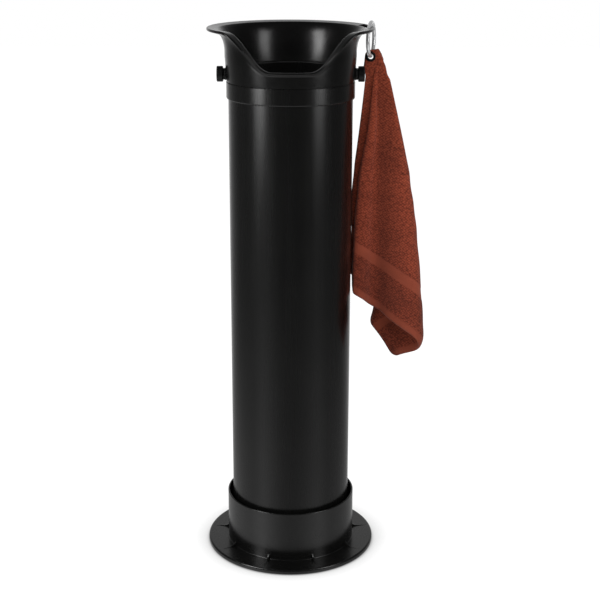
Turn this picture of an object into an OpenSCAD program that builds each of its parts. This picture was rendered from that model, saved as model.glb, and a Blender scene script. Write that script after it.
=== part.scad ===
// Floor-standing bin with an open, flared head, a lift-out liner and a towel on a ring.
// Millimetres, +Z up, origin on the axis at floor level, dipped lip towards -Y, towel on the +X side.

/* [Foot] */
// Reach of the foot disc beyond the tube
foot_reach = 49.5; // [40:0.5:80]
// Height of the disc's top face above the floor
foot_top = 9.5; // [8:0.5:14]
// Thickness of the disc's deck
deck_t = 4; // [3:0.5:5]
// Radial width of the disc's rim on the underside
foot_rim_w = 8; // [6:1:14]
// Height of the rim's lower edge above the floor
rim_lift = 1.5; // [1:0.1:2]
// Rounding of the disc's upper edge
foot_edge_r = 3; // [1:0.5:4]
// Height of the socket sleeve's top above the floor
sleeve_top = 106; // [70:1:140]
// Wall thickness of the socket sleeve
sleeve_wall = 3.2; // [2.4:0.2:5]
// Open gap between the socket sleeve and the tube
socket_gap = 7.1; // [4:0.1:12]
// Number of outer gussets, and of locating ribs inside the socket
gusset_n = 9; // [4:1:12]
// Height of a gusset on the sleeve's wall
gusset_h = 10; // [6:1:20]
// Distance from a gusset's tip to the disc's edge
gusset_margin = 8; // [6:1:12]
// Thickness of gussets and locating ribs
rib_t = 2; // [1.6:0.2:4]
// Distance from the top of the sleeve to the top of the locating ribs
rib_drop = 26; // [15:1:40]

/* [Ballast] */
// Thickness of the steel ballast plate
ballast_t = 3.4; // [2:0.2:3.5]
// Radius of the hole in the middle of the ballast plate
ballast_hole_r = 25; // [15:1:40]
// Number of ballast screws
ballast_screw_n = 4; // [3:1:6]
// Distance from the tube's outside in to the circle of ballast screws
ballast_screw_inset = 32.5; // [25:0.5:60]
// Radius of a ballast screw's shank
ballast_screw_r = 2; // [1.5:0.25:3]
// Radius of a ballast screw's head
ballast_head_r = 4; // [3.5:0.25:6]
// Height of the screw bosses above the socket's floor
boss_h = 6.5; // [5:0.5:8]
// Number of rubber feet
pad_n = 6; // [3:1:8]
// Radius of a rubber foot
pad_r = 9; // [6:0.5:12]
// Radius of the rubber foot in the middle
middle_pad_r = 20; // [10:1:24]

/* [Column] */
// Outer radius of the tube
tube_r = 112.5; // [94:0.5:135]
// Wall thickness of the tube
tube_wall = 5; // [4:0.5:6]
// Height of the tube's top edge above the floor
tube_top = 925; // [600:5:1120]
// Height of the stop collar
collar_h = 30; // [20:1:45]
// Thickness of the stop collar
collar_t = 3.5; // [2.5:0.5:5]
// Rounding of the collar's lower edge
collar_edge_r = 3; // [1:0.5:3.5]
// Height of the plug's underside above the socket's floor
plug_lift = 8.5; // [8:0.5:14]
// Thickness of the bottom plug
plug_t = 8; // [6:0.5:12]
// Radius of the seal cord in the plug's groove
seal_r = 1.7; // [1.2:0.1:2.2]

/* [Head] */
// Thickness of the gasket between tube and head
gasket_t = 2; // [1:0.5:3]
// Length of the skirt that reaches down over the tube
skirt_h = 22; // [18:1:30]
// Thickness of the skirt at its lower edge
skirt_t = 2; // [1.6:0.2:3]
// Open seam between the skirt and the stop collar
seam_gap = 0.5; // [0.3:0.1:1]
// Draft of the head's outside, as growth in radius per unit of height
draft = 0.069; // [0.03:0.001:0.1]
// Height over which the outside is drafted
draft_h = 45; // [30:1:60]
// Wall thickness of the bowl
bowl_wall = 4; // [3:0.5:6]
// Reach of the lip beyond the tube at the back and sides
lip_reach = 37.5; // [31:0.5:50]
// Thickness of the rounded lip
lip_t = 5.2; // [4:0.2:7]
// Height of the lip above the tube's gasket at the back and sides
lip_rise = 73; // [60:1:95]
// Height of the dipped lip above the tube's gasket at the front
notch_rise = 6; // [5:0.5:20]
// Overhang of the dipped lip beyond the bowl's wall at the front
notch_reach = 2.4; // [1:0.2:6]
// Half angle of the flat bottom of the dip
notch_flat = 15; // [8:1:25]
// Half angle at which the lip has reached its full height
notch_full = 57; // [45:1:70]

/* [Knobs] */
// Height of the knobs' axis below the tube's top edge
knob_drop = 8; // [7:0.5:14]
// Radius of a knob's disc
knob_r = 14; // [10:0.5:18]
// Thickness of a knob's disc
knob_t = 11.4; // [8:0.2:15]
// Radius of a knob's neck
knob_neck_r = 10.3; // [9:0.1:10.5]
// Length of a knob's neck
knob_neck_l = 2; // [1.6:0.2:6]
// Rounding of a knob's edges
knob_edge_r = 1.6; // [0.5:0.1:2.5]
// Radius of a knob's threaded stud
stud_r = 4; // [3:0.5:5]
// Thickness of the washer under a knob
washer_t = 0.8; // [0.6:0.1:2]
// Radius of the bush's flange
bush_flange_r = 11; // [10.5:0.5:18]
// Thickness of the bush's flange where it is thinnest
bush_flange_t = 1.5; // [1.2:0.1:4]
// Radius of the bush's barrel in the skirt
bush_r = 7; // [6:0.5:8]

/* [Liner] */
// Room between the liner's top and the tube
liner_room = 4; // [3:0.5:10]
// Wall thickness of the liner
liner_wall = 2; // [1.5:0.1:3]
// Draft of the liner, as the radius lost from top to bottom
liner_draft = 2; // [0:0.5:10]
// Distance from the tube's top edge down to the liner's rim
liner_drop = 30; // [25:1:120]
// Overhang of the liner's rolled rim
liner_bead = 1; // [0.5:0.1:1.5]
// Height of the liner's rolled rim
liner_bead_h = 7; // [4:0.5:12]
// Height of the bail's pivot above the liner's rim
bail_rise = 5; // [4.9:0.1:8]
// Radius of the bail's wire
bail_wire_r = 2; // [1.5:0.1:2.4]
// Outer radius of the bail's grip
bail_grip_r = 4.5; // [3.5:0.1:4.6]
// Angle of the bail that its grip covers
bail_grip_arc = 44; // [20:1:80]
// Half width of a bail ear
ear_half_w = 6; // [5:0.5:9]

/* [Towel ring] */
// Radius of the ring to the middle of its wire
ring_r = 29.8; // [25:0.1:40]
// Radius of the ring's wire
ring_wire_r = 3.5; // [2.5:0.1:4]
// Angle of the ring's place on the lip, from +X towards the back
ring_place = 11; // [5:1:20]
// Angle between the ring's plane and the lip's edge
ring_yaw = 25; // [22:1:60]
// Width of the lip's web that carries the ring
web_w = 5; // [4:0.2:7]
// Radial width of the ring's slot in the lip
slot_w = 12; // [10:0.5:14]
// Half angle of the ring's slot
slot_half_arc = 12.5; // [12:0.5:15]
// Angle of the gate's pivot below the ring's outer side
gate_low = 25; // [15:1:30]
// Angle of the gate's free end above the ring's outer side
gate_high = 30; // [20:1:35]
// Radius of the gate's pin
gate_pin_r = 1; // [0.8:0.1:1.2]
// Thickness of the gate's tongue
tongue_t = 2.2; // [1.6:0.1:2.6]

/* [Towel] */
// Side of the square towel, laid flat
towel_side = 420; // [350:5:500]
// Distance of the eyelet's middle from the towel's two nearest edges
eyelet_inset = 13; // [11:0.5:25]
// Thickness of the towelling
towel_t = 3; // [2:0.5:4]
// Radius of the eyelet's hole
eyelet_hole_r = 5; // [4.5:0.1:7]
// Radius of the eyelet's flanges
eyelet_r = 9.5; // [8:0.1:10.5]
// Thickness of an eyelet flange
eyelet_t = 1.2; // [0.8:0.1:2]

/* [Hidden] */
plastic = "#1c1c1e";
grey = "#3a3b3d";
steel = "#9a9da1";
chrome = "#c9cbce";
rubber = "#26262a";
terry = "#9c4a36";

// Clearances
glue_gap = 0.05;
seat_gap = 0.15;
run_gap = 0.08;
facet_gap = 0.3;
slide_gap = 0.4;
rest_gap = 0.5;

// How far a cutting tool reaches past the surface it cuts
over = 1;

// Heights and radii of the foot and column
foot_r = tube_r + foot_reach;
deck_z = foot_top - deck_t;
sleeve_in = tube_r + socket_gap;
sleeve_r = sleeve_in + sleeve_wall;
ballast_z = deck_z - ballast_t;
ballast_screw_ring = tube_r - ballast_screw_inset;
ballast_r = foot_r - foot_rim_w - over;
pad_ring = ballast_r - 1.5 * pad_r;
boss_wall = 1.5;
screw_cover = 2;
tube_in = tube_r - tube_wall;
plug_z = foot_top + plug_lift;
plug_top = plug_z + plug_t;
plug_r = tube_in - glue_gap;
ledge_z = tube_top + gasket_t;
skirt_z = ledge_z - skirt_h;
collar_top = skirt_z - seam_gap;

// Radii of the head; the facets of its skirt stay clear of the tube
lip_r = tube_r + lip_reach;
skirt_in = tube_r + slide_gap + facet_gap;
skirt_out = skirt_in + skirt_t;
function wall_r(z) = skirt_out + draft * min(z - skirt_z, draft_h);

// Places along the knobs' axis, measured from the head's axis
knob_z = tube_top - knob_drop;
flange_in = wall_r(knob_z + bush_flange_r) + seat_gap;
flange_face = flange_in + bush_flange_t;
washer_in = flange_face + glue_gap;
washer_face = washer_in + washer_t;
neck_face = washer_face + knob_neck_l;
knob_face = neck_face + knob_t;
stud_tip = tube_r + slide_gap;
stud_cover = 3;
stud_end = knob_face - stud_cover;

// Liner and bail
liner_r = tube_in - liner_room;
liner_z = plug_top;
liner_top = tube_top - liner_drop;
bail_z = liner_top + bail_rise;
bail_r = liner_r - liner_wall - bail_wire_r - rest_gap;
bail_end = liner_r + liner_bead + rest_gap;

// Ring frame: X along the ring's plane, Y up, Z away from the bin
lip_top = ledge_z + lip_rise;
ring_radial = lip_r - web_w / 2;
ring_turn = ring_place + 90 - ring_yaw;
ring_lift = 2.2;
ring_crown = lip_top + ring_lift;
ring_z = ring_crown - ring_r + ring_wire_r;
ring_at = [ring_radial * cos(ring_place), ring_radial * sin(ring_place), ring_z];
eyelet_y = rest_gap + ring_wire_r - ring_r - eyelet_hole_r;

// Arc points about a centre, from one angle to another
function arc(c, r, a0, a1, n) = [for (i = [0 : n]) let (a = lerp(a0, a1, i / n)) c + r * [cos(a), sin(a)]];
function lerp(a, b, t) = a + (b - a) * t;
function ease(x) = let (u = min(1, max(0, x))) u * u * u * (u * (6 * u - 15) + 10);
function unit(v) = v / norm(v);

module place_ring() {
    translate(ring_at) rotate([0, 0, ring_turn]) rotate([90, 0, 0]) children();
}

// Turns a shape modelled along +Z so that it points away from the axis on one side
module on_side(side) {
    translate([0, 0, knob_z]) rotate([0, side * 90, 0]) children();
}

// Foot

rim_chamfer = 1;
foot_profile = concat(
    [[0, deck_z], [foot_r - foot_rim_w, deck_z], [foot_r - foot_rim_w, rim_lift]],
    [[foot_r - rim_chamfer, rim_lift], [foot_r, rim_lift + rim_chamfer]],
    arc([foot_r - foot_edge_r, foot_top - foot_edge_r], foot_edge_r, 0, 90, 6),
    [[sleeve_r, foot_top]],
    arc([sleeve_r - sleeve_wall / 2, sleeve_top - sleeve_wall / 2], sleeve_wall / 2, 0, 180, 8),
    [[sleeve_in, foot_top], [0, foot_top]]
);

module gusset() {
    gusset_foot = foot_top - deck_t / 2;
    gusset_tip = foot_r - gusset_margin;
    slope = (gusset_tip - sleeve_r) / gusset_h;
    rotate([90, 0, 0]) translate([0, 0, -rib_t / 2]) linear_extrude(rib_t) polygon([
        [sleeve_r - sleeve_wall / 2, gusset_foot],
        [gusset_tip + slope * deck_t / 2, gusset_foot],
        [sleeve_r, foot_top + gusset_h],
        [sleeve_r - sleeve_wall / 2, foot_top + gusset_h],
    ]);
}

module locating_rib() {
    rib_in = tube_r + slide_gap;
    rib_lead = 4;
    rotate([90, 0, 0]) translate([0, 0, -rib_t / 2]) linear_extrude(rib_t) polygon([
        [rib_in, foot_top - deck_t / 2],
        [sleeve_in + sleeve_wall / 2, foot_top - deck_t / 2],
        [sleeve_in + sleeve_wall / 2, sleeve_top - rib_drop],
        [rib_in + rib_lead, sleeve_top - rib_drop],
        [rib_in, sleeve_top - rib_drop - 3 * rib_lead],
    ]);
}

module at_ballast_screws() {
    for (k = [0 : ballast_screw_n - 1])
        rotate([0, 0, (k + 0.5) * 360 / ballast_screw_n]) translate([ballast_screw_ring, 0, 0]) children();
}

module foot_moulding() {
    color(plastic) difference() {
        union() {
            rotate_extrude($fn = 180) polygon(foot_profile);
            for (k = [0 : gusset_n - 1])
                rotate([0, 0, (k + 0.5) * 360 / gusset_n - 90]) {
                    gusset();
                    locating_rib();
                }
            at_ballast_screws() translate([0, 0, foot_top - deck_t / 2])
                cylinder(r = ballast_head_r + boss_wall, h = boss_h + deck_t / 2, $fn = 48);
        }
        at_ballast_screws() translate([0, 0, deck_z - over])
            cylinder(r = ballast_screw_r + glue_gap, h = over + deck_t + boss_h - boss_wall, $fn = 32);
    }
}

module ballast_plate() {
    color(steel) difference() {
        translate([0, 0, ballast_z]) cylinder(r = ballast_r, h = ballast_t, $fn = 180);
        translate([0, 0, ballast_z - over]) cylinder(r = ballast_hole_r, h = ballast_t + 2 * over, $fn = 96);
        at_ballast_screws() {
            translate([0, 0, ballast_z - over])
                cylinder(r = ballast_screw_r + slide_gap, h = ballast_t + 2 * over, $fn = 32);
            translate([0, 0, ballast_z]) ballast_head(glue_gap);
        }
    }
}

// Countersunk head, grown by a clearance
module ballast_head(grow) {
    head_h = ballast_head_r - ballast_screw_r;
    cylinder(r1 = ballast_head_r + grow, r2 = ballast_screw_r + grow, h = head_h, $fn = 48);
}

module ballast_screws() {
    screw_l = ballast_t + deck_t + boss_h - screw_cover;
    color(steel) at_ballast_screws() translate([0, 0, ballast_z]) {
        ballast_head(0);
        cylinder(r = ballast_screw_r, h = screw_l, $fn = 32);
    }
}

module rubber_feet() {
    color(rubber) {
        cylinder(r = middle_pad_r, h = deck_z, $fn = 96);
        for (k = [0 : pad_n - 1])
            rotate([0, 0, k * 360 / pad_n]) translate([pad_ring, 0, 0])
                cylinder(r = pad_r, h = ballast_z, $fn = 64);
    }
}

// Column

module tube() {
    color(plastic) rotate_extrude($fn = 180)
        translate([tube_in, foot_top]) square([tube_wall, tube_top - foot_top]);
}

groove_room = 0.2;
groove_in = plug_r - 2 * seal_r - groove_room;
groove_z = plug_z + plug_t / 2;

module bottom_plug() {
    color(plastic) difference() {
        translate([0, 0, plug_z]) cylinder(r = plug_r, h = plug_t, $fn = 180);
        rotate_extrude($fn = 180) translate([groove_in, groove_z - seal_r - groove_room])
            square([plug_r, 2 * seal_r + 2 * groove_room]);
    }
}

module plug_seal() {
    color(rubber) rotate_extrude($fn = 180)
        translate([groove_in + seal_r + groove_room / 2, groove_z]) circle(r = seal_r, $fn = 24);
}

module stop_collar() {
    inner = tube_r + glue_gap;
    outer = tube_r + collar_t;
    low = collar_top - collar_h;
    bevel = 0.8;
    color(plastic) rotate_extrude($fn = 180) polygon(concat(
        [[inner, low]],
        arc([outer - collar_edge_r, low + collar_edge_r], collar_edge_r, -90, 0, 6),
        [[outer, collar_top - bevel], [outer - bevel, collar_top], [inner, collar_top]]
    ));
}

// Head: one section for each angle, blended from the dipped front to the full flare

flare_front = [1.2, 4];
flare_back = [16, 33];
scoop_front = [2.4, 2.6];
scoop_back = [18, 38];
under_drop = 3.8;
top_drop = 2;
ledge_t = 1.5;
slot_cut = 14;
flare_steps = 6;
tip_steps = 4;

// Share of the full flare at an angle from the front
function flare_share(phi) = ease((abs(phi) - notch_flat) / (notch_full - notch_flat));

// Closed outline of the head's wall, as radius and height, for a share of the full flare
function head_section(w) =
    let (
        top = ledge_z + lerp(notch_rise, lip_rise, w),
        under = top - lip_t - under_drop * w,
        flare = lerp(flare_front, flare_back, w),
        scoop = lerp(scoop_front, scoop_back, w),
        flare_z = under - flare[1],
        wall = wall_r(flare_z),
        tip = lerp(wall + notch_reach, lip_r, w) - lip_t / 2,
        inside = wall - bowl_wall,
        scoop_z = top - top_drop * w,
        draft_z = min(flare_z - over, skirt_z + draft_h)
    )
    concat(
        [[skirt_in, skirt_z], [skirt_out, skirt_z], [wall_r(draft_z), draft_z]],
        [for (i = [0 : flare_steps]) let (a = 90 * i / flare_steps)
            [wall + flare[0] * (1 - cos(a)), under - flare[1] * (1 - sin(a))]],
        arc([tip, top - lip_t / 2], lip_t / 2, -90, 90, tip_steps),
        [for (i = [0 : flare_steps]) let (a = 90 * i / flare_steps)
            [inside + scoop[0] * (1 - sin(a)), scoop_z - scoop[1] * (1 - cos(a))]],
        [[tube_in, ledge_z + ledge_t], [tube_in, ledge_z], [skirt_in, ledge_z]]
    );

head_angles = concat(
    [for (p = [-180 : 6 : -66]) p],
    [for (p = [-60 : 3 : 60]) p],
    [for (p = [66 : 6 : 174]) p]
);

// Triangles that join closed rings of points, ring after ring, and the last ring to the first
function ring_faces(rings, size) = [
    for (j = [0 : rings - 1], i = [0 : size - 1])
        let (
            a = j * size + i,
            b = j * size + (i + 1) % size,
            c = ((j + 1) % rings) * size + (i + 1) % size,
            d = ((j + 1) % rings) * size + i
        )
        each [[a, b, c], [a, c, d]]
];

module funnel_head() {
    size = len(head_section(1));
    points = [
        for (p = head_angles)
            each [for (q = head_section(flare_share(p))) [q[0] * sin(p), -q[0] * cos(p), q[1]]]
    ];
    color(plastic) difference() {
        polyhedron(points, ring_faces(len(head_angles), size));
        for (side = [-1, 1])
            on_side(side) translate([0, 0, tube_in]) cylinder(r = bush_r + glue_gap, h = knob_r, $fn = 48);
        rotate([0, 0, ring_place - slot_half_arc]) rotate_extrude(angle = 2 * slot_half_arc, $fn = 180)
            translate([lip_r - web_w - slot_w, lip_top - slot_cut]) square([slot_w, slot_cut + over]);
    }
}

module head_gasket() {
    color(rubber) rotate_extrude($fn = 180)
        translate([tube_in + rest_gap, tube_top]) square([tube_wall - 2 * rest_gap, gasket_t]);
}

// Knobs

module bush(side) {
    color(plastic) difference() {
        union() {
            on_side(side) translate([0, 0, skirt_in])
                cylinder(r = bush_r, h = flange_face - skirt_in, $fn = 48);
            difference() {
                on_side(side) translate([0, 0, tube_r])
                    cylinder(r = bush_flange_r, h = flange_face - tube_r, $fn = 64);
                translate([0, 0, skirt_z]) cylinder(
                    r1 = skirt_out + seat_gap,
                    r2 = wall_r(skirt_z + draft_h) + seat_gap,
                    h = draft_h,
                    $fn = 180
                );
                translate([0, 0, collar_top - collar_h])
                    cylinder(r = tube_r + collar_t + slide_gap, h = collar_h + seam_gap, $fn = 180);
            }
        }
        on_side(side) cylinder(r = stud_r + run_gap, h = flange_face + over, $fn = 48);
    }
}

module washer(side) {
    color(rubber) on_side(side) translate([0, 0, washer_in]) difference() {
        cylinder(r = knob_neck_r, h = washer_t, $fn = 64);
        translate([0, 0, -over]) cylinder(r = stud_r + run_gap, h = washer_t + 2 * over, $fn = 48);
    }
}

module knob(side) {
    dome = 0.6;
    color(plastic) on_side(side) difference() {
        rotate_extrude($fn = 96) polygon(concat(
            [[0, washer_face], [knob_neck_r, washer_face], [knob_neck_r, neck_face]],
            arc([knob_r - knob_edge_r, neck_face + knob_edge_r], knob_edge_r, -90, 0, 4),
            arc([knob_r - knob_edge_r, knob_face - knob_edge_r], knob_edge_r, 0, 90, 4),
            [[0, knob_face + dome]]
        ));
        translate([0, 0, washer_face - over])
            cylinder(r = stud_r + glue_gap, h = over + stud_end - washer_face + glue_gap, $fn = 48);
    }
}

module stud(side) {
    color(steel) on_side(side) translate([0, 0, stud_tip])
        cylinder(r = stud_r, h = stud_end - stud_tip, $fn = 48);
}

module left_bush() { bush(-1); }
module right_bush() { bush(1); }
module left_washer() { washer(-1); }
module right_washer() { washer(1); }
module left_knob() { knob(-1); }
module right_knob() { knob(1); }
module left_stud() { stud(-1); }
module right_stud() { stud(1); }

// Liner and bail

module liner_ears() {
    across = 2.2 * liner_r;
    ear_h = 4 * liner_bead_h;
    intersection() {
        translate([0, 0, liner_top - liner_bead_h]) difference() {
            cylinder(r = liner_r, h = ear_h, $fn = 180);
            translate([0, 0, -over]) cylinder(r = liner_r - liner_wall, h = ear_h + 2 * over, $fn = 180);
        }
        union() {
            translate([0, 0, bail_z]) rotate([0, 90, 0])
                cylinder(r = ear_half_w, h = across, center = true, $fn = 64);
            translate([-across / 2, -ear_half_w, liner_top - over])
                cube([across, 2 * ear_half_w, bail_rise + over]);
        }
    }
}

module liner() {
    low_r = liner_r - liner_draft;
    heel = 3;
    bevel = 1;
    rim_r = liner_r + liner_bead;
    color(grey) difference() {
        union() {
            rotate_extrude($fn = 180) polygon([
                [0, liner_z], [low_r - heel, liner_z], [low_r, liner_z + heel],
                [liner_r, liner_top - liner_bead_h], [rim_r, liner_top - liner_bead_h + liner_bead],
                [rim_r, liner_top - bevel], [rim_r - bevel, liner_top], [liner_r - liner_wall, liner_top],
                [low_r - liner_wall, liner_z + 2 * liner_wall],
                [low_r - 2 * liner_wall, liner_z + liner_wall], [0, liner_z + liner_wall],
            ]);
            liner_ears();
        }
        translate([0, 0, bail_z]) rotate([0, 90, 0])
            cylinder(r = bail_wire_r + run_gap, h = 2.2 * liner_r, center = true, $fn = 32);
    }
}

module bail_wire() {
    stub = bail_end - bail_r;
    color(steel) translate([0, 0, bail_z]) {
        rotate_extrude(angle = 180, $fn = 180) translate([bail_r, 0]) circle(r = bail_wire_r, $fn = 32);
        for (side = [-1, 1])
            rotate([0, side * 90, 0]) translate([0, 0, bail_r - bail_wire_r])
                cylinder(r = bail_wire_r, h = stub + bail_wire_r, $fn = 32);
    }
}

module bail_grip() {
    color(plastic) translate([0, 0, bail_z]) rotate([0, 0, 90 - bail_grip_arc / 2])
        rotate_extrude(angle = bail_grip_arc, $fn = 180) translate([bail_r, 0]) difference() {
            circle(r = bail_grip_r, $fn = 48);
            circle(r = bail_wire_r + seat_gap, $fn = 32);
        }
}

// Towel ring, in the ring frame

pivot = ring_r * [cos(gate_low), -sin(gate_low)];
fork_r = ring_wire_r + 0.2;
slab_gap = 0.25;
tongue_w = 1.25 * ring_wire_r;
tongue_r = ring_wire_r - slide_gap;
gate_reach = 2 * ring_r * sin((gate_low + gate_high) / 2);
span_h = 4 * ring_wire_r;

module ring_wire() {
    rotate_extrude($fn = 120) translate([ring_r, 0]) circle(r = ring_wire_r, $fn = 48);
}

// Frame with its origin on the gate's pivot and X along the closed gate
module at_pivot() {
    translate([pivot[0], pivot[1], 0]) rotate([0, 0, 90 - gate_low]) children();
}

module pivot_disc(r, h) {
    at_pivot() cylinder(r = r, h = h, center = true, $fn = 48);
}

// The gate's share of the ring, between two radii about the pivot, so that its ends clear as it turns
module gate_span(near, far) {
    at_pivot() difference() {
        intersection() {
            cylinder(r = far, h = span_h, center = true, $fn = 120);
            translate([0, -far, -span_h]) cube([far + over, 2 * far, 2 * span_h]);
        }
        cylinder(r = near, h = span_h + over, center = true, $fn = 48);
    }
}

module towel_ring() {
    color(chrome) place_ring() difference() {
        ring_wire();
        gate_span(fork_r, gate_reach + slide_gap);
        pivot_disc(fork_r + over, tongue_t + 2 * slab_gap);
        pivot_disc(gate_pin_r + glue_gap, span_h);
    }
}

module ring_gate() {
    color(chrome) place_ring() difference() {
        union() {
            intersection() {
                ring_wire();
                gate_span(fork_r + facet_gap, gate_reach);
            }
            at_pivot() translate([0, -tongue_w / 2, -tongue_t / 2])
                cube([2 * ring_wire_r, tongue_w, tongue_t]);
            pivot_disc(tongue_r, tongue_t);
        }
        pivot_disc(gate_pin_r + run_gap, span_h);
    }
}

module gate_pin() {
    color(steel) place_ring() pivot_disc(gate_pin_r, 2 * (ring_wire_r - facet_gap));
}

// Towel, in the ring frame: the eyelet is its middle, X points away from the viewer, Z away from the bin

// The cloth falls from the eyelet in lobes round a leaning centre line; angles are seen from the eyelet
fold_lobes = 7;
fold_phase = 231;
fold_mean = 0.62;
fold_swing = 0.3;
fold_deepest = 250;
fold_from = 236;
fold_to = -104;
fold_half = [8, 9];
fold_middle = [2.9, -2];
fold_steps = 58;
gather_near = 8;
gather_far = 110;

far_edge = towel_side - eyelet_inset;
corner_angle = 45 + atan(eyelet_inset / far_edge);

// Direction of the folded cloth, as angles to the right and to the viewer, at a place round the lobes
function fold_at(psi) =
    let (
        deep = fold_mean + fold_swing * cos(psi - fold_deepest),
        r = (1 + deep * cos(fold_lobes * psi + fold_phase)) / (1 + deep)
    )
    [fold_middle[0] + fold_half[0] * r * cos(psi), fold_middle[1] + fold_half[1] * r * sin(psi)];

fold_path = [for (i = [0 : fold_steps]) fold_at(lerp(fold_from, fold_to, i / fold_steps))];
function fold_step(i) = norm(fold_path[min(i + 1, fold_steps)] - fold_path[i]);
fold_run = [for (i = 0, run = 0; i <= fold_steps; run = run + fold_step(i), i = i + 1) run];

// Columns of the cloth: the angle on the flat towel, from its diagonal, and the folded direction
lower_columns = [
    for (i = [0 : fold_steps])
        [(2 * fold_run[i] / fold_run[fold_steps] - 1) * corner_angle, fold_path[i]]
];
corner_turns = [50, 54, 60, 70, 85, 105, 130, 155];
right_columns = [for (t = corner_turns) [t, fold_path[fold_steps]]];
left_columns = [for (i = [len(corner_turns) - 1 : -1 : 0]) [-corner_turns[i], fold_path[0]]];
towel_columns = concat(lower_columns, right_columns, [[180, [0, 0]]], left_columns);
towel_rows = [0, 0.03, 0.08, 0.2, 0.45, 0.72, 1];

// Distance from the eyelet to the towel's edge along a flat angle
function edge_at(turn) =
    abs(turn) <= corner_angle ? far_edge / cos(45 - abs(turn)) : eyelet_inset / sin(abs(turn) - 45);

function cloth_at(column, reach) =
    let (
        turn = column[0],
        gather = ease((reach - gather_near) / (gather_far - gather_near)),
        flat = [0, -cos(turn), sin(turn)],
        hung = unit([-tan(column[1][1]), -1, tan(column[1][0])])
    )
    [0, eyelet_y, 0] + reach * unit(lerp(flat, hung, gather));

barrel_r = eyelet_hole_r + 0.9;
hole_r = barrel_r + slide_gap;
cloth = [
    for (c = towel_columns)
        [for (u = towel_rows) cloth_at(c, lerp(hole_r, edge_at(c[0]), u))]
];

function cloth_normal(j, i) =
    let (
        n = len(cloth),
        last = len(towel_rows) - 1,
        along = cloth[j][min(i + 1, last)] - cloth[j][max(i - 1, 0)],
        across = cloth[(j + 1) % n][i] - cloth[(j + n - 1) % n][i]
    )
    unit(cross(across, along));

module towel() {
    rows = len(towel_rows);
    points = [
        for (j = [0 : len(cloth) - 1])
            each concat(
                [for (i = [0 : rows - 1]) cloth[j][i] + cloth_normal(j, i) * towel_t / 2],
                [for (i = [rows - 1 : -1 : 0]) cloth[j][i] - cloth_normal(j, i) * towel_t / 2]
            )
    ];
    color(terry) place_ring() polyhedron(points, ring_faces(len(cloth), 2 * rows));
}

module eyelet_front() {
    color(plastic) place_ring() translate([0, eyelet_y, 0]) rotate([0, -90, 0]) difference() {
        union() {
            translate([0, 0, towel_t / 2 + glue_gap]) cylinder(r = eyelet_r, h = eyelet_t, $fn = 64);
            translate([0, 0, -towel_t / 2]) cylinder(r = barrel_r, h = towel_t + eyelet_t, $fn = 48);
        }
        cylinder(r = eyelet_hole_r, h = 4 * towel_t, center = true, $fn = 48);
    }
}

module eyelet_back() {
    color(plastic) place_ring() translate([0, eyelet_y, 0]) rotate([0, -90, 0]) difference() {
        translate([0, 0, -towel_t / 2 - glue_gap - eyelet_t]) cylinder(r = eyelet_r, h = eyelet_t, $fn = 64);
        cylinder(r = eyelet_hole_r, h = 4 * towel_t, center = true, $fn = 48);
    }
}

foot_moulding();
ballast_plate();
ballast_screws();
rubber_feet();
tube();
bottom_plug();
plug_seal();
stop_collar();
funnel_head();
head_gasket();
left_bush();
right_bush();
left_washer();
right_washer();
left_knob();
right_knob();
left_stud();
right_stud();
liner();
bail_wire();
bail_grip();
towel_ring();
ring_gate();
gate_pin();
towel();
eyelet_front();
eyelet_back();
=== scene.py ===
from math import cos, pi, radians, sin, tan

import bmesh
import bpy
import numpy as np
from mathutils import Matrix, Vector


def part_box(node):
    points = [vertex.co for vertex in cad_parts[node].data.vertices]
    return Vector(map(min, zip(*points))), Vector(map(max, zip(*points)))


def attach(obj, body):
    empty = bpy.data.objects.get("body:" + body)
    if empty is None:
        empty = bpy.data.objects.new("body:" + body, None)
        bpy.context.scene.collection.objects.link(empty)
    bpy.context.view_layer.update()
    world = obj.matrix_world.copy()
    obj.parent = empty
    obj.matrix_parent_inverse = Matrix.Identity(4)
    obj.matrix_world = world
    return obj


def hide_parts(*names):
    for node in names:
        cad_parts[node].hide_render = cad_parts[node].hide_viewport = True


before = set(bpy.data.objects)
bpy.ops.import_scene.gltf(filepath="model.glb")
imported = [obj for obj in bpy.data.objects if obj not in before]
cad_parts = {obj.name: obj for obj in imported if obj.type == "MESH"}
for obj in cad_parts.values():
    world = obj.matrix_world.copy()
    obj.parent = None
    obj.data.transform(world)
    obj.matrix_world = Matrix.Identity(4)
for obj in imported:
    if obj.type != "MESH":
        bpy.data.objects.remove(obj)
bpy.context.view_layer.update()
MM = 0.001

# Camera

IMAGE_W = 600
FOCAL_PX = 1301.1
SENSOR_W = 36
CAMERA_AT = Vector((0, -2.3515, 1.2158))
CAMERA_YAW = radians(0.432)
CAMERA_PITCH = radians(17.10)
CAMERA_ROLL = radians(0.15)


def make_camera():
    data = bpy.data.cameras.new("camera")
    data.sensor_width = SENSOR_W
    data.lens = FOCAL_PX * SENSOR_W / IMAGE_W
    camera = bpy.data.objects.new("camera", data)
    bpy.context.collection.objects.link(camera)
    look = Matrix.Rotation(-CAMERA_YAW, 4, "Z") @ Matrix.Rotation(pi / 2 - CAMERA_PITCH, 4, "X")
    camera.matrix_world = Matrix.Translation(CAMERA_AT) @ look @ Matrix.Rotation(CAMERA_ROLL, 4, "Z")
    bpy.context.scene.camera = camera


make_camera()

# Sizes taken from the frame

TUBE_LOW, TUBE_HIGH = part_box("tube")
COLLAR_LOW, COLLAR_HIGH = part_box("stop_collar")
FOOT_LOW, FOOT_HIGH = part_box("foot_moulding")
HEAD_LOW, HEAD_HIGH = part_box("funnel_head")
KNOB_LOW, KNOB_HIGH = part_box("right_knob")
BUSH_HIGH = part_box("right_bush")[1]

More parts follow.
